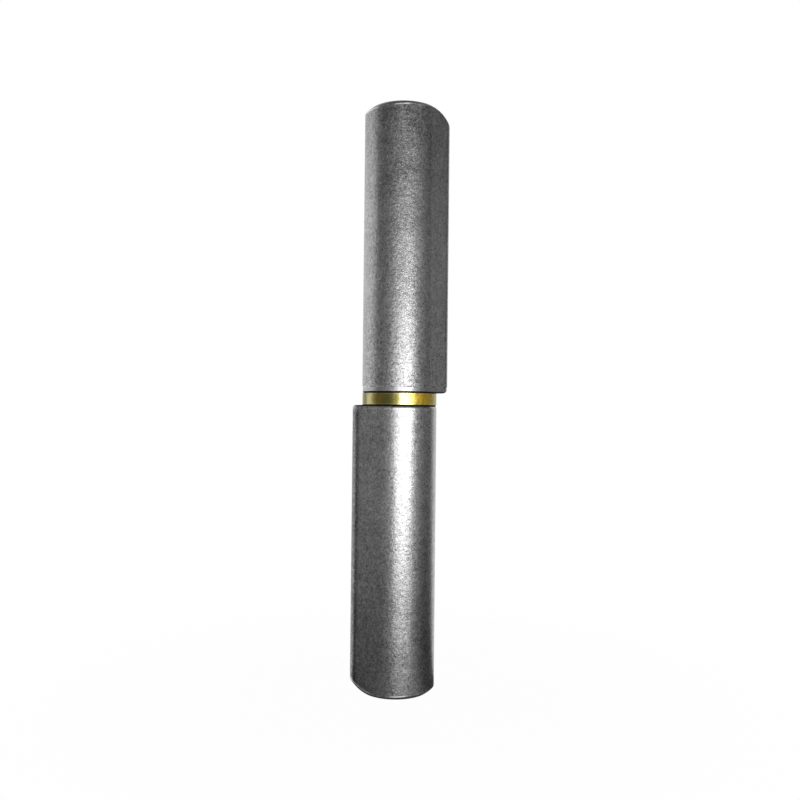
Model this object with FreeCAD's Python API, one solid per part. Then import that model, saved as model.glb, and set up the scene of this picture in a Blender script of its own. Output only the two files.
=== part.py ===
import FreeCAD, Part
import math
import os

# Weld-on barrel hinge
# Two leaves of drawn teardrop bar turn on a plain pin, with a brass washer between their faces.
# Millimetres. +Z runs up the pin, and the origin is the middle of the lower leaf's bottom end.

# Section of the drawn bar: a round barrel with a weld tail, whose flats leave the barrel as tangents
barrel_diameter = 18.0
barrel_wall = 3.5
tail_half_angle = 45.0
tail_tip_radius = 2.6

# Lengths along the pin
lower_length = 68.5
upper_length = 68.5
washer_thickness = 3.0

# Directions that the tails point in, in degrees from +X about +Z
lower_tail_angle = 187.0
upper_tail_angle = -7.0

# Outer end of each leaf: a turned chamfer with a crowned slope, which takes the tail's corner off as well
# The bar is chucked a little off the pin's axis, towards its tail
end_chamfer = 1.15
end_chamfer_angle = 51.0
end_chamfer_crown = 0.5
end_chamfer_offset = 0.47

# Washer face of the lower leaf: a broken edge, and a rounded tail corner as on the upper leaf
lower_edge_break = 0.3
lower_edge_height = 0.6
face_corner_radius = 1.2

# Washer face of the upper leaf: a dressed band behind a small step, and a broken edge
band_length = 1.3
band_depth = 0.1
band_step = 0.25
upper_edge_break = 0.25
upper_edge_height = 0.25

# Pin, pressed into the lower leaf
pin_seat = 32.0
pin_reach = 30.0
pin_chamfer = 1.0

# Bores: the drill's point lies beyond the full depth, and each mouth is countersunk
running_clearance = 0.05
spare_depth = 2.0
drill_point_angle = 118.0
mouth_countersink = 0.8

# Washer, turned to the barrel's own size
washer_inset = 0.02
washer_clearance = 0.15
washer_edge_break = 0.15

# How far a cutting shape runs past the metal that it takes away
overcut = 2.0

# Places worked out from the sizes above
barrel_radius = barrel_diameter / 2
pin_radius = barrel_radius - barrel_wall
tail_centre = (barrel_radius - tail_tip_radius) / math.sin(math.radians(tail_half_angle))
tail_reach = tail_centre + tail_tip_radius
lower_face = lower_length
upper_face = lower_face + washer_thickness
top_end = upper_face + upper_length
pin_foot = lower_face - pin_seat
pin_head = upper_face + pin_reach


def polar(distance, turn, height):
    angle = math.radians(turn)
    return FreeCAD.Vector(distance * math.cos(angle), distance * math.sin(angle), height)


def bar_section(turn, height, inset):
    """Outline of the bar, drawn in by inset all round."""
    barrel = barrel_radius - inset
    tip = tail_tip_radius - inset
    lean = 90 - tail_half_angle
    centre = polar(tail_centre, turn, 0)
    left_root = polar(barrel, turn + lean, height)
    left_end = centre + polar(tip, turn + lean, height)
    nose = centre + polar(tip, turn, height)
    right_end = centre + polar(tip, turn - lean, height)
    right_root = polar(barrel, turn - lean, height)
    back = polar(barrel, turn + 180, height)
    edges = [
        Part.LineSegment(left_root, left_end).toShape(),
        Part.Arc(left_end, nose, right_end).toShape(),
        Part.LineSegment(right_end, right_root).toShape(),
        Part.Arc(right_root, back, left_root).toShape(),
    ]
    return Part.Wire(edges)


def revolved(edges):
    """Solid of revolution about the pin's axis, from the edges of a closed outline."""
    return Part.Face(Part.Wire(edges)).revolve(FreeCAD.Vector(0, 0, 0), FreeCAD.Vector(0, 0, 1), 360)


def turned(points):
    """Solid of revolution about the pin's axis, from radius and height pairs."""
    corners = [FreeCAD.Vector(radius, 0, height) for radius, height in points]
    return revolved(Part.makePolygon(corners + corners[:1]).Edges)


def chamfer_ring(turn, end, inward):
    """Ring that a chamfering tool takes off an outer end.

    Its crowned slope is drawn as a spline, so it crosses the tail's flats in plain splines too.
    """
    lean = math.radians(end_chamfer_angle)
    start = FreeCAD.Vector(barrel_radius - end_chamfer, 0, end)
    slope = FreeCAD.Vector(math.cos(lean), 0, inward * math.sin(lean))
    square = FreeCAD.Vector(math.sin(lean), 0, -inward * math.cos(lean))
    chord = (tail_reach - start.x) / math.cos(lean)
    middle = start + slope * (chord / 2) + square * end_chamfer_crown
    finish = start + slope * chord
    outside = finish + slope * overcut
    beyond = FreeCAD.Vector(outside.x, 0, end - inward * overcut)
    close = FreeCAD.Vector(start.x, 0, beyond.z)
    ring = revolved([
        Part.Arc(start, middle, finish).toBSpline().toShape(),
        Part.LineSegment(finish, outside).toShape(),
        Part.LineSegment(outside, beyond).toShape(),
        Part.LineSegment(beyond, close).toShape(),
        Part.LineSegment(close, start).toShape(),
    ])
    ring.translate(polar(end_chamfer_offset, turn, 0))
    return ring


def corner_ring(end, inward, radius):
    """Ring that rounds the tail's corner at a washer face."""
    start = FreeCAD.Vector(tail_reach - radius, 0, end)
    finish = FreeCAD.Vector(tail_reach, 0, end + inward * radius)
    fall = radius * math.cos(math.radians(45))
    middle = FreeCAD.Vector(tail_reach - radius + fall, 0, end + inward * (radius - fall))
    outside = tail_reach + overcut
    beyond = end - inward * overcut
    low = FreeCAD.Vector(outside, 0, finish.z)
    high = FreeCAD.Vector(outside, 0, beyond)
    close = FreeCAD.Vector(start.x, 0, beyond)
    return revolved([
        Part.Arc(start, middle, finish).toShape(),
        Part.LineSegment(finish, low).toShape(),
        Part.LineSegment(low, high).toShape(),
        Part.LineSegment(high, close).toShape(),
        Part.LineSegment(close, start).toShape(),
    ])


def leaf_blank(turn, outer_end, washer_face, dressing):
    """Bar cut to length, with both of its ends dressed.

    The dressing of the washer face is pairs of a distance from that face and an inset there.
    """
    inward = math.copysign(1, washer_face - outer_end)
    stations = [(outer_end, 0)] + [(washer_face - inward * distance, inset) for distance, inset in dressing]
    blank = Part.makeLoft([bar_section(turn, height, inset) for height, inset in stations], True, True)
    blank = blank.cut(chamfer_ring(turn, outer_end, inward))
    return blank.cut(corner_ring(washer_face, -inward, face_corner_radius))


def blind_bore(radius, face, inward, depth):
    """Drilled bore from a washer face, with its point and its countersunk mouth."""
    point = radius / math.tan(math.radians(drill_point_angle / 2))
    return turned([
        (0, face - inward * overcut),
        (radius + mouth_countersink + overcut, face - inward * overcut),
        (radius, face + inward * mouth_countersink),
        (radius, face + inward * depth),
        (0, face + inward * (depth + point)),
    ])


def lower_barrel():
    dressing = [(lower_edge_height, 0), (0, lower_edge_break)]
    blank = leaf_blank(lower_tail_angle, 0, lower_face, dressing)
    return blank.cut(blind_bore(pin_radius, lower_face, -1, pin_seat))


def upper_barrel():
    dressing = [
        (band_length + band_step, 0),
        (band_length, band_depth),
        (upper_edge_height, band_depth),
        (0, band_depth + upper_edge_break),
    ]
    blank = leaf_blank(upper_tail_angle, top_end, upper_face, dressing)
    return blank.cut(blind_bore(pin_radius + running_clearance, upper_face, 1, pin_reach + spare_depth))


def hinge_pin():
    return turned([
        (0, pin_foot),
        (pin_radius - pin_chamfer, pin_foot),
        (pin_radius, pin_foot + pin_chamfer),
        (pin_radius, pin_head - pin_chamfer),
        (pin_radius - pin_chamfer, pin_head),
        (0, pin_head),
    ])


def brass_washer():
    bore = pin_radius + washer_clearance
    rim = barrel_radius - washer_inset
    return turned([
        (bore + washer_edge_break, lower_face),
        (rim - washer_edge_break, lower_face),
        (rim, lower_face + washer_edge_break),
        (rim, upper_face - washer_edge_break),
        (rim - washer_edge_break, upper_face),
        (bore + washer_edge_break, upper_face),
        (bore, upper_face - washer_edge_break),
        (bore, lower_face + washer_edge_break),
    ])


os.makedirs("parts", exist_ok=True)
for build in (lower_barrel, upper_barrel, hinge_pin, brass_washer):
    build().exportStep("parts/" + build.__name__ + ".step")
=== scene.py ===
import bpy
import math
from collections import namedtuple
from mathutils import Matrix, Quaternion, Vector


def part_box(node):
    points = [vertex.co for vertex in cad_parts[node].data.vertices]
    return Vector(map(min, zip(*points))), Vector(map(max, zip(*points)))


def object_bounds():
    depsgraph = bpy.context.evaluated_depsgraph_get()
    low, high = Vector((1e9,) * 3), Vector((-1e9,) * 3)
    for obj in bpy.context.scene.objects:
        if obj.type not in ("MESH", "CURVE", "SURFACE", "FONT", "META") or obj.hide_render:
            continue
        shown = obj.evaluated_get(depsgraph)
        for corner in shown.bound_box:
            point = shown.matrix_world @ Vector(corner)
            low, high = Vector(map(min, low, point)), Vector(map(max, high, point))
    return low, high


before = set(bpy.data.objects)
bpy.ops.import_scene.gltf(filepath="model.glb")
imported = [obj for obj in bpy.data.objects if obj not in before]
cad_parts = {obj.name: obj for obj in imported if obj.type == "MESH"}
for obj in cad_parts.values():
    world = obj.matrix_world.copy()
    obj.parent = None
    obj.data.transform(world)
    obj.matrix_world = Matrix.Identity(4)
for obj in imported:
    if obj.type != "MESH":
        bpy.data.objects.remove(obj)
cad_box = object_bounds()

bl_info = {
    "name": "Weld-on Barrel Hinge",
    "version": (1, 0, 0),
    "blender": (4, 5, 0),
    "location": "View3D > Sidebar > Hinge",
    "description": "Finishes for a weld-on barrel hinge in drawn steel with a brass washer, and its stage",
    "category": "Material",
}

# A finish measures in millimetres, and in degrees about +Z from +X. The stage measures in metres.
MM = 1000.0
DEGREES = 180 / math.pi
WHITE = (1.0, 1.0, 1.0, 1.0)

# A noise swings about this level, and so does the tone of the drawn skin
MIDDLE = 0.5

# Heights along the pin and radii about it, read from the frame
LOWER_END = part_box("lower_barrel")[0].z * MM
LOWER_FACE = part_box("lower_barrel")[1].z * MM
UPPER_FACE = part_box("upper_barrel")[0].z * MM
UPPER_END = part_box("upper_barrel")[1].z * MM
BARREL_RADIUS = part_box("lower_barrel")[1].y * MM
PIN_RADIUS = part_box("hinge_pin")[1].x * MM

# How far the tails reach from the pin's axis, and where they point
TAIL_REACH = 11.651
LOWER_TAIL = math.radians(187.0)
UPPER_TAIL = math.radians(-7.0)

# Painted shade in the joints beside the washer lies outside these radii
JOINT_RADII = (BARREL_RADIUS - 1.4, BARREL_RADIUS - 1.0)

# A noise: its features to a millimetre, its octaves beyond the first, and how strong those are
Texture = namedtuple("Texture", "scale detail roughness")

# What sets one leaf apart: the heights of its ends, the direction of its tail, the width of its band, its
# roughness, and a share from 0 to 1 of its wear, which also sets the painted light and shade on its step
# and towards its outer end
Leaf = namedtuple("Leaf", "name outer_end washer_face tail band roughness wear")

# A lamp: its height above the floor, its distance from the pin, how wide and tall it is, and its tilt
Lamp = namedtuple("Lamp", "name height distance width tall tilt")


class Signal:
    """A number that varies over a surface, so that shader maths reads as plain expressions."""

    def __init__(self, shader, socket):
        self.shader = shader
        self.socket = socket

    def math(self, operation, first, second=0.0):
        return self.shader.signal("ShaderNodeMath", {"operation": operation}, {0: first, 1: second})

    def __add__(self, other):
        return self.math("ADD", self, other)

    def __radd__(self, other):
        return self.math("ADD", other, self)

    def __sub__(self, other):
        return self.math("SUBTRACT", self, other)

    def __rsub__(self, other):
        return self.math("SUBTRACT", other, self)

    def __mul__(self, other):
        return self.math("MULTIPLY", self, other)

    def __rmul__(self, other):
        return self.math("MULTIPLY", other, self)

    def __pow__(self, other):
        return self.math("POWER", self, other)

    def __abs__(self):
        return self.math("ABSOLUTE", self)

    def at_least(self, other):
        return self.math("MAXIMUM", self, other)

    def at_most(self, other):
        return self.math("MINIMUM", self, other)

    def angle_to(self, other):
        return self.math("ARCTAN2", self, other)


class Shader:
    """One node tree, with a single way of adding a node."""

    def __init__(self, tree):
        self.tree = tree
        tree.nodes.clear()

    def feed(self, socket, value):
        if isinstance(value, Signal):
            value = value.socket
        if isinstance(value, bpy.types.NodeSocket):
            self.tree.links.new(value, socket)
        else:
            socket.default_value = value

    def node(self, kind, settings, sockets):
        """Adds a node: its settings first, then the value or link of each named socket."""
        made = self.tree.nodes.new(kind)
        for name, value in settings.items():
            setattr(made, name, value)
        for name, value in sockets.items():
            self.feed(made.inputs[name], value)
        return made

    def signal(self, kind, settings, sockets, output=0):
        return Signal(self, self.node(kind, settings, sockets).outputs[output])

    def smooth(self, value, low, high):
        """Rises from 0 at low to 1 at high, or falls where low is the larger."""
        sockets = {"Value": value, "From Min": low, "From Max": high}
        return self.signal("ShaderNodeMapRange", {"interpolation_type": "SMOOTHSTEP"}, sockets)

    def around(self, value, middle, low, high):
        """Goes from 0 to 1 as the distance from the middle goes from low to high."""
        return self.smooth(abs(value - middle), low, high)

    def blend(self, factor, first, second):
        """Mixes two colours. They are the node's inputs 6 and 7, and its output 2."""
        sockets = {0: factor, 6: first, 7: second}
        return self.node("ShaderNodeMix", {"data_type": "RGBA"}, sockets).outputs[2]

    def combine(self, x, y, z):
        return self.node("ShaderNodeCombineXYZ", {}, {"X": x, "Y": y, "Z": z}).outputs["Vector"]

    def stretch(self, vector, scale):
        sockets = {0: vector, 1: scale}
        return self.node("ShaderNodeVectorMath", {"operation": "MULTIPLY"}, sockets).outputs["Vector"]

    def dot(self, vector, other):
        sockets = {0: vector, 1: other}
        return self.signal("ShaderNodeVectorMath", {"operation": "DOT_PRODUCT"}, sockets, "Value")

    def noise(self, vector, texture, times=1.0):
        """Noise of one texture, with its features so many times as fine."""
        sockets = {
            "Vector": vector,
            "Scale": texture.scale * times,
            "Detail": texture.detail,
            "Roughness": texture.roughness,
        }
        return self.signal("ShaderNodeTexNoise", {"noise_dimensions": "3D"}, sockets)


class Surface(Shader):
    """A finish in the part's own millimetres, with the radius from the pin and the height along it."""

    def __init__(self, name):
        self.material = bpy.data.materials.new(name)
        self.material.use_nodes = True
        super().__init__(self.material.node_tree)
        coordinates = self.node("ShaderNodeTexCoord", {}, {})
        self.place = self.stretch(coordinates.outputs["Object"], (MM, MM, MM))
        parts = self.node("ShaderNodeSeparateXYZ", {}, {"Vector": self.place})
        self.x = Signal(self, parts.outputs["X"])
        self.y = Signal(self, parts.outputs["Y"])
        self.height = Signal(self, parts.outputs["Z"])
        self.radius = (self.x * self.x + self.y * self.y) ** 0.5

    def turn(self):
        """Direction from the pin's axis, in degrees."""
        return self.y.angle_to(self.x) * DEGREES

    def levelled(self, share):
        """Normal of the surface, turned towards the horizontal by a share of its height."""
        straight = self.node("ShaderNodeNewGeometry", {}, {}).outputs["Normal"]
        flatter = self.stretch(straight, self.combine(1.0, 1.0, 1 - share))
        return self.node("ShaderNodeVectorMath", {"operation": "NORMALIZE"}, {0: flatter}).outputs["Vector"]

    def bump(self, height, depth, under=None):
        """Turns a height into a normal, over the normal under it. Depth is in millimetres."""
        sockets = {"Height": height, "Distance": depth / MM}
        if under is not None:
            sockets["Normal"] = under
        return self.node("ShaderNodeBump", {}, sockets).outputs["Normal"]

    def metal(self, colour, roughness, normal):
        """Closes the finish as bare metal."""
        sockets = {"Base Color": colour, "Roughness": roughness, "Normal": normal, "Metallic": 1.0}
        principled = self.node("ShaderNodeBsdfPrincipled", {}, sockets)
        self.node("ShaderNodeOutputMaterial", {}, {"Surface": principled.outputs["BSDF"]})
        return self.material


def rgba(colour, times=1.0):
    """Opaque colour, with its levels so many times as bright."""
    return tuple(times * level for level in colour) + (1.0,)


def vary(middle, textures, shares):
    """A middle value, moved by the swing of each texture about its own middle, times its share."""
    for name, share in shares.items():
        middle = middle + (textures[name] - MIDDLE) * share
    return middle


# Outer end, washer face and bore: how far from them the marks of the tools end
TURNED_EDGE = 0.06
SLOPE_START = 0.08
FACED_EDGE = 0.05
BORED_RADII = (PIN_RADIUS + 0.6, PIN_RADIUS + 0.3)

# Textures of the drawn skin. All but the first two have their features to a grain, not to a millimetre.
CLOUDS = Texture(0.12, 4.0, 0.6)
STREAKS = Texture(2.2, 2.0, 0.6)
STREAK_STRETCH = (1.0, 1.0, 0.06)
BLOTCHES = Texture(0.2, 2.0, 0.5)
GRAIN = Texture(1.0, 2.0, 0.7)
SAND = Texture(0.45, 2.0, 0.6)
PITS = Texture(0.9, 1.0, 0.5)
PIT_LEVELS = (0.68, 0.75)
SPECKS = Texture(0.95, 1.0, 0.5)
SPECK_LEVELS = (0.59, 0.64)

# How much of each texture goes into the skin's tone, its roughness and its relief
TONE_SHARES = {"clouds": 0.35, "blotches": 0.3, "streaks": 0.25, "grain": 1.6, "sand": 0.8}
ROUGHNESS_SHARES = {"grain": 0.25, "clouds": 0.15}
PIT_ROUGHNESS = 0.2
RELIEF_SHARES = {"grain": 0.55, "sand": 0.7, "streaks": 0.12, "pits": -0.25}

# Pits show more, and specks only, on the part of the leaf that lies near the washer
NEAR_FACE = (28, 6)
PIT_SHARE = 0.35
PIT_SHARE_NEAR = 0.45
SPECK_SHARE = 0.6
SPECK_SHARE_PLAIN = 0.6
SPECK_SHARE_WORN = 0.4
PIT_COLOUR = (0.07, 0.07, 0.07, 1.0)

# The upper leaf is lighter on its flats, and painted shade darkens it towards its outer end
FLAT_START = (6.2, 7.0)
FLAT_LIFT = 0.2
FAR_FROM_FACE = (40, 66)
FAR_PAINTED_SHADE = 0.16

# The tail's nose is darker than the flats, and mottled
NOSE_START = 0.2
NOSE_DROP = 0.2
NOSE_LEVELS = (0.42, 0.54)
NOSE_SHARE = 0.5
NOSE_COLOUR = (0.04, 0.04, 0.04, 1.0)

# Rings that the tools left on cut metal, across the end and along the bore
RINGS = Texture(1.0, 2.0, 0.5)
RINGS_ACROSS = 6.0
RINGS_ALONG = 9.0
RING_BRIGHTER = 1.25
CUT_ROUGHNESS = 0.3
RING_RELIEF = 0.4

# The dressed band beside the washer, and the line where its step begins: painted light along it, broken by
# strokes of painted shade
BAND_EDGE = 0.02
BAND_SHARE = 0.5
BAND_COLOUR = (0.5, 0.5, 0.52, 1.0)
STEP_MIDDLE = 0.12
STEP_WIDTHS = (0.2, 0.05)
STEP_PAINTED_LIGHT_SHARE = 0.7
STEP_PAINTED_LIGHT = (0.75, 0.75, 0.77, 1.0)
STEP_DARK_LEVELS = (0.5, 0.6)
STEP_PAINTED_SHADE_SHARE = 0.8
STEP_PAINTED_SHADE = (0.1, 0.1, 0.1, 1.0)
STEP_LEVELLED = 0.6

# Painted shade beside the washer, and along the seams of the tail's nose
JOINT_HEIGHTS = (0.36, 0.26)
SEAM_WIDTHS = (0.3, 0.12)
SEAM_SHARE = 0.55
SEAM_SHARE_PLAIN = 0.45
SEAM_SHARE_SANDY = 0.55
PAINTED_SHADE_SHARE = 0.92
PAINTED_SHADE_ROUGHNESS = 0.3
STEEL_PAINTED_SHADE = (0.015, 0.015, 0.015, 1.0)

# Edges scuffed bright in patches where the sand is high, with a painted highlight along the chamfer's edge
# at the front and front left, and a painted highlight in patches along the edge beside the washer
PATCH_LEVELS = (0.4, 0.6)
CHAMFER_EDGE_MIDDLE = 0.18
CHAMFER_EDGE_WIDTHS = (0.26, 0.12)
RUBBED_PATCHES = 0.4
WEAR_AND_HIGHLIGHT_SHARE = 0.95
FRONT_EDGE_ROUGHNESS = 0.15
PAINTED_HIGHLIGHT_PLACES = ((-101, 18, 8), (-158, 22, 10))
FACE_EDGE_MIDDLE = 0.75
FACE_EDGE_WIDTHS = (0.5, 0.1)
FACE_EDGE_HIGHLIGHT_SHARE = 0.3
WEAR_AND_HIGHLIGHT_COLOUR = (0.9, 0.9, 0.9, 1.0)

# How strongly the relief falls on a leaf that is less rough than the upper one
RELIEF_POWER = 2.5


def chamfer_arc(look):
    """Circle of the crowned chamfer's slope: its centre's radius, its own radius, and its depth."""
    start = BARREL_RADIUS - look.chamfer
    chord = (TAIL_REACH - start) / math.cos(look.chamfer_angle)
    crown = chord * chord / (8.0 * look.crown) + look.crown / 2.0
    first = look.chamfer_angle - 2.0 * math.atan(2.0 * look.crown / chord)
    return start - crown * math.sin(first), crown, crown * math.cos(first)


class LeafSurface(Surface):
    """Surface of one leaf, measured from its ends, along its tail and from its chamfer."""

    def __init__(self, leaf, look):
        super().__init__(leaf.name)
        self.from_face = abs(self.height - leaf.washer_face)

        # Distance along the tail, and from the axis that the end was turned about
        self.along = self.x * math.cos(leaf.tail) + self.y * math.sin(leaf.tail)
        beside = self.y * math.cos(leaf.tail) - self.x * math.sin(leaf.tail)
        beyond = self.along - look.offset
        self.off_axis = (beyond * beyond + beside * beside) ** 0.5

        # Distance from the chamfer's slope, whose depth under the outer end is the drop
        centre, crown, depth = chamfer_arc(look)
        reach = (self.off_axis - centre).at_least(0.0)
        drop = depth - (crown * crown - reach * reach) ** 0.5
        self.below_chamfer = abs(self.height - leaf.outer_end) - drop.at_least(0.0)

        # Where the tools have been: the end, its chamfer, the washer face, the bore and the band
        self.turned_end = self.smooth(self.below_chamfer, TURNED_EDGE, 0.0)
        self.sloped = self.turned_end * self.smooth(drop, 0.0, SLOPE_START)
        faced = self.smooth(self.from_face, FACED_EDGE, 0.0)
        bored = self.smooth(self.radius, *BORED_RADII)
        self.cut = self.turned_end.at_least(faced).at_least(bored)
        self.banded = self.smooth(self.from_face, leaf.band + BAND_EDGE, leaf.band - BAND_EDGE)
        self.step = self.around(self.from_face, leaf.band + STEP_MIDDLE, *STEP_WIDTHS) * leaf.wear

        # The drawn skin: clouds, blotches, faint streaks along the bar, two sizes of grain, and pits
        self.skin = {
            "clouds": self.noise(self.place, CLOUDS),
            "blotches": self.noise(self.place, BLOTCHES, look.grain),
            "streaks": self.noise(self.stretch(self.place, STREAK_STRETCH), STREAKS),
            "grain": self.noise(self.place, GRAIN, look.grain),
            "sand": self.noise(self.place, SAND, look.grain),
            "pits": self.smooth(self.noise(self.place, PITS, look.grain), *PIT_LEVELS),
        }
        self.patchy = self.smooth(self.skin["sand"], *PATCH_LEVELS)


def skin_colour(s, leaf, look):
    """Drawn skin, with pits and specks, a lighter flat, a mottled nose, and painted shade towards the outer
    end.
    """
    near_face = s.smooth(s.from_face, *NEAR_FACE)
    on_nose = s.smooth(s.along, look.seam, look.seam + NOSE_START)
    tone = vary(MIDDLE, s.skin, TONE_SHARES) + FLAT_LIFT * leaf.wear * s.smooth(s.along, *FLAT_START)
    # Painted shade darkens the upper leaf towards its outer end
    tone = tone - NOSE_DROP * on_nose - FAR_PAINTED_SHADE * leaf.wear * s.smooth(s.from_face, *FAR_FROM_FACE)
    colour = s.blend(tone.at_least(0.0).at_most(1.0), rgba(look.dark), rgba(look.bright))

    pitted = s.skin["pits"] * (PIT_SHARE + PIT_SHARE_NEAR * near_face)
    specks = s.smooth(s.noise(s.place, SPECKS, look.grain), *SPECK_LEVELS) * near_face
    specked = specks * (SPECK_SHARE * (SPECK_SHARE_PLAIN + SPECK_SHARE_WORN * leaf.wear))
    colour = s.blend(pitted.at_least(specked), colour, PIT_COLOUR)

    mottled = on_nose * s.smooth(s.skin["sand"], *NOSE_LEVELS) * NOSE_SHARE
    return s.blend(mottled, colour, NOSE_COLOUR)


def cut_colour(s, rings, look):
    """Metal that the tools have cut, painted darker on the chamfer's slope as shade."""
    colour = s.blend(rings, rgba(look.cut), rgba(look.cut, RING_BRIGHTER))
    return s.blend(s.sloped, colour, rgba(look.slope))


def band_colour(s, colour):
    """Colour with the cleaner band over it, and painted light along the line where the band's step begins,
    broken by strokes of painted shade.
    """
    colour = s.blend(s.banded * BAND_SHARE, colour, BAND_COLOUR)
    # Painted light along the step's line, broken by strokes of painted shade
    colour = s.blend(s.step * STEP_PAINTED_LIGHT_SHARE, colour, STEP_PAINTED_LIGHT)
    shade_dashes = s.step * s.smooth(s.skin["blotches"], *STEP_DARK_LEVELS)
    return s.blend(shade_dashes * STEP_PAINTED_SHADE_SHARE, colour, STEP_PAINTED_SHADE)


def drawn_steel(leaf, look):
    """Dark drawn bar with a fine sandy grain, with turned ends and a bored inside."""
    s = LeafSurface(leaf, look)
    rings = s.noise(s.combine(s.off_axis * RINGS_ACROSS, 0.0, s.height * RINGS_ALONG), RINGS)
    colour = s.blend(s.cut, skin_colour(s, leaf, look), cut_colour(s, rings, look))
    colour = band_colour(s, colour)

    # Painted shade darkens the joint beside the washer, and the seam where each flat meets the tail's nose
    joint = s.smooth(s.from_face, *JOINT_HEIGHTS) * s.smooth(s.radius, *JOINT_RADII)
    seam = s.around(s.along, look.seam, *SEAM_WIDTHS) * (SEAM_SHARE_PLAIN + SEAM_SHARE_SANDY * s.patchy)
    painted_shade = joint.at_least(seam * SEAM_SHARE)
    colour = s.blend(painted_shade * PAINTED_SHADE_SHARE, colour, STEEL_PAINTED_SHADE)

    # The edge between chamfer and bar is scuffed bright in patches, and carries a painted highlight at the
    # front and front left
    turn = s.turn()
    middle, left = (s.around(turn, *place) for place in PAINTED_HIGHLIGHT_PLACES)
    front = middle.at_least(left)
    edge_wear_and_highlight = s.around(s.below_chamfer, CHAMFER_EDGE_MIDDLE, *CHAMFER_EDGE_WIDTHS) * (1 - s.turned_end)
    edge_wear_and_highlight = edge_wear_and_highlight * (RUBBED_PATCHES * s.patchy).at_least(front)
    # A painted highlight in patches along the edge beside the washer
    face_edge_highlight = s.around(s.from_face, FACE_EDGE_MIDDLE, *FACE_EDGE_WIDTHS) * s.patchy * (1 - s.banded)
    colour = s.blend((edge_wear_and_highlight * WEAR_AND_HIGHLIGHT_SHARE).at_least(face_edge_highlight * FACE_EDGE_HIGHLIGHT_SHARE), colour, WEAR_AND_HIGHLIGHT_COLOUR)

    roughness = vary(leaf.roughness, s.skin, ROUGHNESS_SHARES) + s.skin["pits"] * PIT_ROUGHNESS
    roughness = roughness * (1 - s.cut) + s.cut * CUT_ROUGHNESS
    roughness = roughness + painted_shade * PAINTED_SHADE_ROUGHNESS + edge_wear_and_highlight * front * FRONT_EDGE_ROUGHNESS

    height = sum(s.skin[name] * share for name, share in RELIEF_SHARES.items())
    height = height * (1 - s.cut) * (1 - s.banded * BAND_SHARE) + s.cut * rings * RING_RELIEF
    relief = look.relief * (leaf.roughness / look.roughness) ** RELIEF_POWER
    return s.metal(colour, roughness, s.bump(height, relief, s.levelled(s.step * STEP_LEVELLED)))


# Textures of the turned brass. The patches have their features to a patch, not to a millimetre,
# and bend the stripes, by half of the bend's degrees at most to either side.
BRASS_RINGS = Texture(1.0, 3.0, 0.6)
BRASS_RING_STRETCH = (0.05, 0.05, 7.0)
PATCHES = Texture(1.0, 2.0, 0.5)
PATCH_STRETCH = (1.0, 1.0, 0.25)
DULL_LEVELS = (0.45, 0.6)
STRIPE_BEND = 20
BRASS_GRAIN = Texture(3.0, 2.0, 0.6)
MOTTLE = Texture(1.7, 2.0, 0.6)
MOTTLE_STRETCH = (1.0, 1.0, 0.5)

# Stripes down the washer's rim are painted reflections and highlights, set by their turn round it: the
# place and tint of each, where a later one lies over an earlier one
PAINTED_REFLECTION_STRIPES = (
    (-99.0, "pale"),
    (-82.0, "bright"),
    (-152.0, "dull"),
    (-172.0, "olive"),
    (-134.0, "brown"),
    (-116.0, "olive"),
    (-64.0, "warm"),
    (-31.0, "brown"),
)
STRIPE_WIDTHS = (17, 7)
WHOLE_TURN = 360

# Stains over the stripes, a painted highlight along each edge, and painted shade in the joints: levels of
# the noise, share and colour
RING_LEVELS = (0.5, 0.75)
RING_SHARE = 0.3
RING_COLOUR = (0.35, 0.25, 0.08, 1.0)
LIP_MIDDLE = 0.3
LIP_WIDTHS = (0.2, 0.05)
LIP_HIGHLIGHT_SHARE = 0.15
LIP_HIGHLIGHT_COLOUR = (0.9, 0.8, 0.5, 1.0)
MOTTLE_LEVELS = (0.47, 0.62)
MOTTLE_SHARE = 0.4
MOTTLE_COLOUR = (0.2, 0.17, 0.05, 1.0)
BRASS_JOINT_HEIGHTS = (0.2, 0.1)
BRASS_PAINTED_SHADE_SHARE = 0.9
BRASS_PAINTED_SHADE = (0.03, 0.025, 0.01, 1.0)

# Roughness and relief of the brass. It is roughest in its warm stripe.
BRASS_ROUGHNESS_SHARES = {"patches": 0.12, "rings": 0.1}
ROUGH_STRIPE = (-62, 24, 10)
ROUGH_STRIPE_SHARE = 0.13
BRASS_RING_RELIEF = 0.7
BRASS_GRAIN_RELIEF = 0.3
BRASS_RELIEF = 0.012


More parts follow.
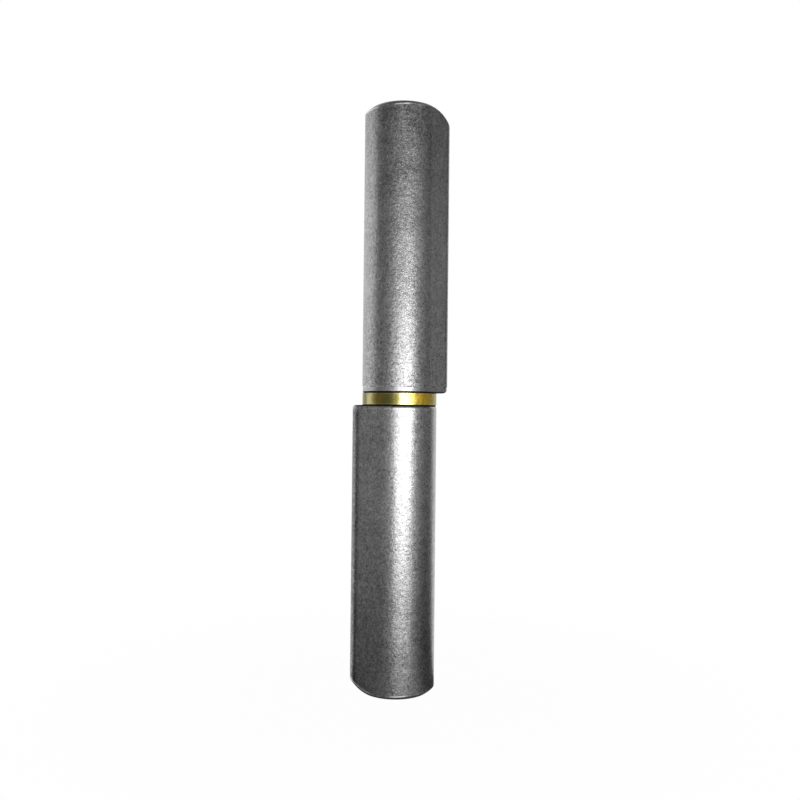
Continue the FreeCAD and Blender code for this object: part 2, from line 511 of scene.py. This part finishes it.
def turned_brass(look):
    """Washer brass, turned on its rim, dulled in patches round it, with painted reflections and highlights
    in stripes round its rim, a painted highlight along each edge, and painted shade in its joints.
    """
    s = Surface("turned_brass")
    rings = s.noise(s.stretch(s.place, BRASS_RING_STRETCH), BRASS_RINGS)
    patches = s.noise(s.stretch(s.place, PATCH_STRETCH), PATCHES, look.patches)
    mottle = s.noise(s.stretch(s.place, MOTTLE_STRETCH), MOTTLE)
    grain = s.noise(s.place, BRASS_GRAIN)

    turn = s.turn() + (patches - MIDDLE) * STRIPE_BEND
    colour = s.blend(s.smooth(patches, *DULL_LEVELS), rgba(look.bright), rgba(look.dull))
    # Each stripe paints a reflection or highlight into the colour
    for middle, tint in PAINTED_REFLECTION_STRIPES:
        apart = abs(turn - middle)
        striped = s.smooth(apart.at_most(WHOLE_TURN - apart), *STRIPE_WIDTHS)
        colour = s.blend(striped, colour, rgba(getattr(look, tint)))

    colour = s.blend(s.smooth(rings, *RING_LEVELS) * RING_SHARE, colour, RING_COLOUR)
    from_edge = (UPPER_FACE - LOWER_FACE) / 2 - abs(s.height - (LOWER_FACE + UPPER_FACE) / 2)
    # A painted highlight along each edge of the rim
    lip = s.around(from_edge, LIP_MIDDLE, *LIP_WIDTHS)
    colour = s.blend(lip * LIP_HIGHLIGHT_SHARE, colour, LIP_HIGHLIGHT_COLOUR)
    colour = s.blend(s.smooth(mottle, *MOTTLE_LEVELS) * MOTTLE_SHARE, colour, MOTTLE_COLOUR)
    # Painted shade darkens the washer's rim in the joints beside the barrels
    joint = s.smooth(from_edge, *BRASS_JOINT_HEIGHTS) * s.smooth(s.radius, *JOINT_RADII)
    colour = s.blend(joint * BRASS_PAINTED_SHADE_SHARE, colour, BRASS_PAINTED_SHADE)

    roughness = vary(look.roughness, {"patches": patches, "rings": rings}, BRASS_ROUGHNESS_SHARES)
    roughness = roughness + joint * PAINTED_SHADE_ROUGHNESS + s.around(turn, *ROUGH_STRIPE) * ROUGH_STRIPE_SHARE
    height = rings * BRASS_RING_RELIEF + grain * BRASS_GRAIN_RELIEF
    return s.metal(colour, roughness, s.bump(height, BRASS_RELIEF))


# Textures of the pin, its darker smears, and its relief
PIN_RINGS = Texture(1.0, 3.0, 0.65)
PIN_RING_STRETCH = (0.05, 0.05, 8.0)
SMEARS = Texture(0.4, 3.0, 0.6)
SMEAR_STRETCH = (1.0, 1.0, 0.3)
SMEAR_DARKER = 0.72
PIN_ROUGHNESS_SHARES = {"rings": 0.15, "smears": 0.15}
PIN_RELIEF = 0.01


def ground_steel(look):
    """Pin steel, ground round and kept bright by grease."""
    s = Surface("ground_steel")
    rings = s.noise(s.stretch(s.place, PIN_RING_STRETCH), PIN_RINGS)
    smears = s.noise(s.stretch(s.place, SMEAR_STRETCH), SMEARS)
    colour = s.blend(smears, rgba(look.bright), rgba(look.bright, SMEAR_DARKER))
    roughness = vary(look.roughness, {"rings": rings, "smears": smears}, PIN_ROUGHNESS_SHARES)
    return s.metal(colour, roughness, s.bump(rings, PIN_RELIEF))


def dress(node, material):
    """Gives one finish to every slot of a CAD node."""
    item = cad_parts[node]
    if not item.material_slots:
        item.data.materials.append(material)
    for slot in item.material_slots:
        slot.material = material


class HingeSteelLook(bpy.types.PropertyGroup):
    """Colours and sizes of the drawn bar's finish, in millimetres."""

    dark: bpy.props.FloatVectorProperty(
        name="Dark skin", description="Darkest grain of the skin",
        subtype="COLOR", default=(0.16, 0.16, 0.16),
    )
    bright: bpy.props.FloatVectorProperty(
        name="Bright skin", description="Lightest grain of the skin",
        subtype="COLOR", default=(0.7, 0.7, 0.7),
    )
    cut: bpy.props.FloatVectorProperty(
        name="Cut metal", description="Turned ends and bores",
        subtype="COLOR", default=(0.4, 0.4, 0.4),
    )
    # Painted shade: a darker copy of the cut metal for the chamfer's slope
    slope: bpy.props.FloatVectorProperty(
        name="Chamfer shade", description="Slope of the end chamfer",
        subtype="COLOR", default=(0.1, 0.1, 0.1),
    )
    roughness: bpy.props.FloatProperty(
        name="Roughness", description="Middle roughness of the upper leaf's skin",
        subtype="FACTOR", default=0.35, min=0.0, max=1.0,
    )
    lower_roughness: bpy.props.FloatProperty(
        name="Lower roughness", description="Middle roughness of the lower leaf's skin",
        subtype="FACTOR", default=0.31, min=0.0, max=1.0,
    )
    grain: bpy.props.FloatProperty(
        name="Grain", description="Grains to a millimetre",
        default=2.6, min=0.1,
    )
    relief: bpy.props.FloatProperty(
        name="Relief", description="Depth of the grain, in millimetres",
        default=0.062, min=0.0,
    )
    chamfer: bpy.props.FloatProperty(
        name="Chamfer", description="Width of the turned end chamfer, in millimetres",
        default=1.15, min=0.0,
    )
    chamfer_angle: bpy.props.FloatProperty(
        name="Chamfer angle", description="Slope of its chord",
        subtype="ANGLE", unit="ROTATION", default=math.radians(51.0),
    )
    crown: bpy.props.FloatProperty(
        name="Crown", description="Height of its slope above its chord, in millimetres",
        default=0.5, min=0.01,
    )
    offset: bpy.props.FloatProperty(
        name="Chamfer offset", description="Its axis lies this far from the pin's, in millimetres",
        default=0.47,
    )
    band: bpy.props.FloatProperty(
        name="Band", description="Width of the dressed band beside the washer, in millimetres",
        default=1.3, min=0.0,
    )
    seam: bpy.props.FloatProperty(
        name="Seam", description="Distance of the tail's seams from the pin's axis, in millimetres",
        default=10.89,
    )


class HingeBrassLook(bpy.types.PropertyGroup):
    """Colours of the washer: clean and dulled brass, and the tints of the painted reflections in its
    stripes.
    """

    bright: bpy.props.FloatVectorProperty(
        name="Bright brass", description="Clean turned brass",
        subtype="COLOR", default=(0.9, 0.74, 0.18),
    )
    # Pale is a painted highlight. Olive, warm and brown tint painted reflections, and bright and dull each
    # do so in one stripe.
    pale: bpy.props.FloatVectorProperty(
        name="Pale brass", description="Brass in its stripe of painted highlight",
        subtype="COLOR", default=(0.76, 0.72, 0.42),
    )
    dull: bpy.props.FloatVectorProperty(
        name="Dull brass", description="Patches that have dulled",
        subtype="COLOR", default=(0.56, 0.5, 0.27),
    )
    olive: bpy.props.FloatVectorProperty(
        name="Olive brass", description="Stripes of painted reflection, olive",
        subtype="COLOR", default=(0.17, 0.155, 0.045),
    )
    warm: bpy.props.FloatVectorProperty(
        name="Warm brass", description="Stripe of painted reflection of the lamps, gold",
        subtype="COLOR", default=(1.0, 0.68, 0.07),
    )
    brown: bpy.props.FloatVectorProperty(
        name="Brown brass", description="Stripes of painted reflection, brown",
        subtype="COLOR", default=(0.34, 0.26, 0.07),
    )
    patches: bpy.props.FloatProperty(
        name="Patches", description="Patches to a millimetre",
        default=0.16, min=0.01,
    )
    roughness: bpy.props.FloatProperty(
        name="Roughness", description="Middle roughness of the brass",
        subtype="FACTOR", default=0.29, min=0.0, max=1.0,
    )


class HingePinLook(bpy.types.PropertyGroup):
    """Colour and roughness of the pin."""

    bright: bpy.props.FloatVectorProperty(
        name="Pin steel", description="Ground steel",
        subtype="COLOR", default=(0.58, 0.57, 0.56),
    )
    roughness: bpy.props.FloatProperty(
        name="Roughness", description="Middle roughness of the pin",
        subtype="FACTOR", default=0.24, min=0.0, max=1.0,
    )


class HingeStageLook(bpy.types.PropertyGroup):
    """Camera, lamps and floor."""

    distance: bpy.props.FloatProperty(
        name="Camera distance", description="From the pin's axis",
        subtype="DISTANCE", unit="LENGTH", default=0.215,
    )
    azimuth: bpy.props.FloatProperty(
        name="Camera azimuth", description="Turn about the pin, from the front",
        subtype="ANGLE", unit="ROTATION", default=math.radians(-12.5),
    )
    elevation: bpy.props.FloatProperty(
        name="Camera elevation", description="Above the hinge's middle",
        subtype="ANGLE", unit="ROTATION", default=math.radians(-0.6),
    )
    roll: bpy.props.FloatProperty(
        name="Camera roll", description="Tilt of the picture",
        subtype="ANGLE", unit="ROTATION", default=math.radians(0.586),
    )
    lens: bpy.props.FloatProperty(
        name="Lens", description="Focal length in millimetres",
        default=39.9, min=1.0,
    )
    key: bpy.props.FloatProperty(
        name="Key lamps", description="Radiance of the lamps in front",
        default=4.8, min=0.0,
    )
    floor: bpy.props.FloatVectorProperty(
        name="Floor", description="Colour of the floor",
        subtype="COLOR", default=(0.8, 0.8, 0.8),
    )


class HINGE_OT_leaves(bpy.types.Operator):
    """Finish both leaves in drawn steel"""

    bl_idname = "hinge.leaves"
    bl_label = "Leaves"

    def execute(self, context):
        look = context.scene.hinge_steel
        lower = Leaf("drawn_steel_lower", LOWER_END, LOWER_FACE, LOWER_TAIL, 0.0, look.lower_roughness, 0.0)
        upper = Leaf("drawn_steel_upper", UPPER_END, UPPER_FACE, UPPER_TAIL, look.band, look.roughness, 1.0)
        dress("lower_barrel", drawn_steel(lower, look))
        dress("upper_barrel", drawn_steel(upper, look))
        return {"FINISHED"}


class HINGE_OT_washer(bpy.types.Operator):
    """Finish the washer in turned brass"""

    bl_idname = "hinge.washer"
    bl_label = "Washer"

    def execute(self, context):
        dress("brass_washer", turned_brass(context.scene.hinge_brass))
        return {"FINISHED"}


class HINGE_OT_pin(bpy.types.Operator):
    """Finish the pin in ground steel"""

    bl_idname = "hinge.pin"
    bl_label = "Pin"

    def execute(self, context):
        dress("hinge_pin", ground_steel(context.scene.hinge_pin_look))
        return {"FINISHED"}


# Where the camera aims, from the hinge's middle, and what it is
AIM_DROP = 0.0002
AIM_RIGHT = 0.00015
SENSOR_WIDTH = 36.0
CLIP_START = 0.01
CLIP_END = 20.0

# Two lamps to the right of the camera: a tall one in front of the lower leaf, and a low wide one above it
LAMP_SIDE = math.radians(14.0)
LAMPS = (
    Lamp("key_low", 0.035, 0.35, 0.33, 0.078, math.radians(12.0)),
    Lamp("key_high", 0.084, 0.351, 0.44, 0.024, 0.0),
)

# The studio round the hinge, in degrees to the right of the camera: white beyond its dim front,
# which has a brighter shoulder in its middle and is a little darker on its right
FRONT_MIDDLE = 21
FRONT_HALF_WIDTHS = (96, 116)
SHOULDER_LEFT = (-66, -14)
SHOULDER_RIGHT = (84, 50)
SHOULDER_LEVEL = 0.3
DIM_LEVEL = 0.2
DIM_LEFT = (60, 0)
DIM_LEFT_LEVEL = 0.05
SHEEN_PLACE = (18, 34, 14)
LIFT_PLACE = (74, 32, 12)

# The floor, by distance from the pin: its painted brightness in reflections, darker near the pin as painted
# shade and with a painted sheen of the lamps, and how much of it glows
FLOOR_SIDE = 2.0
FLOOR_FADE = 0.3
FLOOR_FADE_ENDS = (0.0, 0.5)
FLOOR_NEAR = (0.006, 0.016)
FLOOR_SHEEN_NEAR = 0.15
FLOOR_SHEEN_FAR = 0.35
FLOOR_SHEEN_ENDS = (0.05, 0.14)
FLOOR_LIFT = -0.015
FLOOR_GLOW = 0.98
FLOOR_GLOW_ENDS = (0.02, 0.14)

# The room, by height of the direction: dim above and below the horizon, with a soft level overhead
ROOM_FADE = 0.75
ROOM_FADE_ENDS = (0.0, 0.36)
CEILING_LOW = (0.5, 0.7)
CEILING_HIGH = (0.97, 0.86)
CEILING_LEVEL = 0.5
ROOM_COVER = (0.9, 0.5)
ROOM_LIFT = 0.1


def toward(azimuth, elevation=0.0):
    """Unit vector from the pin to a viewer, with azimuth 0 at the front and elevation above the horizon."""
    flat = math.cos(elevation)
    return Vector((math.sin(azimuth) * flat, -math.cos(azimuth) * flat, math.sin(elevation)))


def facing(back, turn):
    """Rotation of a camera or lamp that looks against a vector, turned about its own line of sight."""
    return (-back).to_track_quat("-Z", "Y") @ Quaternion((0.0, 0.0, 1.0), turn)


def add_camera(look, aim):
    """Camera at the photograph's angle."""
    camera = bpy.data.objects.new("camera", bpy.data.cameras.new("camera"))
    camera.data.lens = look.lens
    camera.data.sensor_width = SENSOR_WIDTH
    camera.data.clip_start = CLIP_START
    camera.data.clip_end = CLIP_END
    back = toward(look.azimuth, look.elevation)
    camera.rotation_mode = "QUATERNION"
    camera.rotation_quaternion = facing(back, look.roll)
    camera.location = aim + back * look.distance
    bpy.context.scene.collection.objects.link(camera)
    bpy.context.scene.camera = camera


def add_lamp(lamp, azimuth, radiance):
    """Soft lamp facing the hinge. Its power follows from its radiance and its area."""
    light = bpy.data.objects.new(lamp.name, bpy.data.lights.new(lamp.name, "AREA"))
    light.data.shape = "RECTANGLE"
    light.data.size = lamp.width
    light.data.size_y = lamp.tall
    light.data.energy = radiance * math.pi * lamp.width * lamp.tall
    back = toward(azimuth)
    light.rotation_mode = "QUATERNION"
    light.rotation_quaternion = facing(back, lamp.tilt)
    light.location = Vector((0.0, 0.0, lamp.height)) + back * lamp.distance
    bpy.context.scene.collection.objects.link(light)


def surroundings(s, direction, azimuth, fade, cover, sheen, lift):
    """Brightness of the studio in a direction from the hinge: white behind it, and dim in front.

    Fade dims the front above and below the horizon, and cover dims the white overhead and, as painted shade
    on the floor, under the hinge. Sheen is a painted reflection of the lamps in the floor, and lift is what
    is added on the far right.
    """
    ahead = s.dot(direction, toward(azimuth))
    across = s.dot(direction, toward(azimuth + math.pi / 2))
    turn = across.angle_to(ahead) * DEGREES
    white = s.around(turn, FRONT_MIDDLE, *FRONT_HALF_WIDTHS) * cover
    shoulder = s.smooth(turn, *SHOULDER_LEFT) * s.smooth(turn, *SHOULDER_RIGHT)
    dim = DIM_LEVEL + DIM_LEFT_LEVEL * s.smooth(turn, *DIM_LEFT) + SHOULDER_LEVEL * shoulder
    dim = dim * fade + sheen * s.around(turn, *SHEEN_PLACE) + lift * s.around(turn, *LIFT_PLACE)
    return white + (1 - white) * dim


def show(s, level):
    """Colour for the camera and for reflections, and where it is seen: white for the camera itself."""
    path = s.node("ShaderNodeLightPath", {}, {})
    camera = Signal(s, path.outputs["Is Camera Ray"])
    gloss = Signal(s, path.outputs["Is Glossy Ray"])
    clear = Signal(s, path.outputs["Is Transmission Ray"])
    channels = {"Red": level, "Green": level, "Blue": level}
    grey = s.node("ShaderNodeCombineColor", {}, channels).outputs["Color"]
    return s.blend(camera, grey, WHITE), camera.at_least(gloss.at_least(clear))


def add_floor(look):
    """Pale floor that the camera sees as white, except for the hinge's shadow. Reflections see it painted:
    white behind, dim in front with a painted sheen of the lamps, and darker near the pin as painted shade.
    """
    mesh = bpy.data.meshes.new("floor")
    low, high = -FLOOR_SIDE, FLOOR_SIDE
    corners = [(low, low, 0.0), (high, low, 0.0), (high, high, 0.0), (low, high, 0.0)]
    mesh.from_pydata(corners, [], [(0, 1, 2, 3)])
    floor = bpy.data.objects.new("floor", mesh)
    material = bpy.data.materials.new("floor")
    material.use_nodes = True
    s = Shader(material.node_tree)
    place = s.node("ShaderNodeTexCoord", {}, {}).outputs["Object"]
    distance = s.signal("ShaderNodeVectorMath", {"operation": "LENGTH"}, {0: place}, "Value")

    # Painted shade: the floor is dimmer in reflections near the pin, with a painted sheen of the lamps in
    # front
    fade = FLOOR_FADE + (1 - FLOOR_FADE) * s.smooth(distance, *FLOOR_FADE_ENDS)
    near = s.smooth(distance, *FLOOR_NEAR)
    sheen = near * (FLOOR_SHEEN_NEAR + FLOOR_SHEEN_FAR * s.smooth(distance, *FLOOR_SHEEN_ENDS))
    level = surroundings(s, place, look.azimuth, fade, near, sheen, FLOOR_LIFT * near)
    colour, seen = show(s, level)

    matt = s.node("ShaderNodeBsdfDiffuse", {}, {"Color": rgba(look.floor)})
    glow = s.node("ShaderNodeEmission", {}, {"Color": colour, "Strength": 1.0})
    share = FLOOR_GLOW + (1 - FLOOR_GLOW) * s.smooth(distance, *FLOOR_GLOW_ENDS)
    sockets = {"Fac": seen * share, 1: matt.outputs["BSDF"], 2: glow.outputs["Emission"]}
    mixed = s.node("ShaderNodeMixShader", {}, sockets)
    s.node("ShaderNodeOutputMaterial", {}, {"Surface": mixed.outputs["Shader"]})
    mesh.materials.append(material)
    bpy.context.scene.collection.objects.link(floor)


def add_room(azimuth):
    """Room that is white behind the hinge and dim in front. The camera sees white all round."""
    world = bpy.data.worlds.new("room")
    world.use_nodes = True
    bpy.context.scene.world = world
    s = Shader(world.node_tree)
    direction = s.node("ShaderNodeTexCoord", {}, {}).outputs["Generated"]
    upward = s.signal("ShaderNodeSeparateXYZ", {}, {"Vector": direction}, "Z")
    ceiling = s.smooth(upward, *CEILING_LOW) * s.smooth(upward, *CEILING_HIGH)
    fade = 1 - ROOM_FADE * s.smooth(abs(upward), *ROOM_FADE_ENDS) + CEILING_LEVEL * ceiling
    cover = s.smooth(upward, *ROOM_COVER)
    level = surroundings(s, direction, azimuth, fade, cover, 0.0, ROOM_LIFT)
    colour, seen = show(s, level)
    room = s.node("ShaderNodeBackground", {}, {"Color": colour, "Strength": 1.0})
    s.node("ShaderNodeOutputWorld", {}, {"Surface": room.outputs["Background"]})


class HINGE_OT_stage(bpy.types.Operator):
    """Add the camera, lamps, floor and room"""

    bl_idname = "hinge.stage"
    bl_label = "Stage"

    def execute(self, context):
        look = context.scene.hinge_stage
        low, high = cad_box
        middle = Vector((0.0, 0.0, (low.z + high.z) / 2 - AIM_DROP))
        add_camera(look, middle + toward(look.azimuth + math.pi / 2) * AIM_RIGHT)
        for lamp in LAMPS:
            add_lamp(lamp, look.azimuth + LAMP_SIDE, look.key)
        add_floor(look)
        add_room(look.azimuth)
        context.scene.view_settings.view_transform = "Standard"
        return {"FINISHED"}


class HINGE_PT_panel(bpy.types.Panel):
    """Lists the hinge's finishes and its stage"""

    bl_label = "Weld-on Barrel Hinge"
    bl_idname = "HINGE_PT_panel"
    bl_space_type = "VIEW_3D"
    bl_region_type = "UI"
    bl_category = "Hinge"

    def draw(self, context):
        for operator in OPERATORS:
            self.layout.operator(operator.bl_idname)


LOOKS = {
    "hinge_steel": HingeSteelLook,
    "hinge_brass": HingeBrassLook,
    "hinge_pin_look": HingePinLook,
    "hinge_stage": HingeStageLook,
}
OPERATORS = (HINGE_OT_stage, HINGE_OT_leaves, HINGE_OT_washer, HINGE_OT_pin)


def register():
    for name, look in LOOKS.items():
        bpy.utils.register_class(look)
        setattr(bpy.types.Scene, name, bpy.props.PointerProperty(type=look))
    for operator in OPERATORS:
        bpy.utils.register_class(operator)
    bpy.utils.register_class(HINGE_PT_panel)


def unregister():
    bpy.utils.unregister_class(HINGE_PT_panel)
    for operator in reversed(OPERATORS):
        bpy.utils.unregister_class(operator)
    for name, look in reversed(LOOKS.items()):
        delattr(bpy.types.Scene, name)
        bpy.utils.unregister_class(look)


def main():
    register()
    bpy.ops.hinge.stage()
    bpy.ops.hinge.leaves()
    bpy.ops.hinge.washer()
    bpy.ops.hinge.pin()


if __name__ == "__main__":
    main()
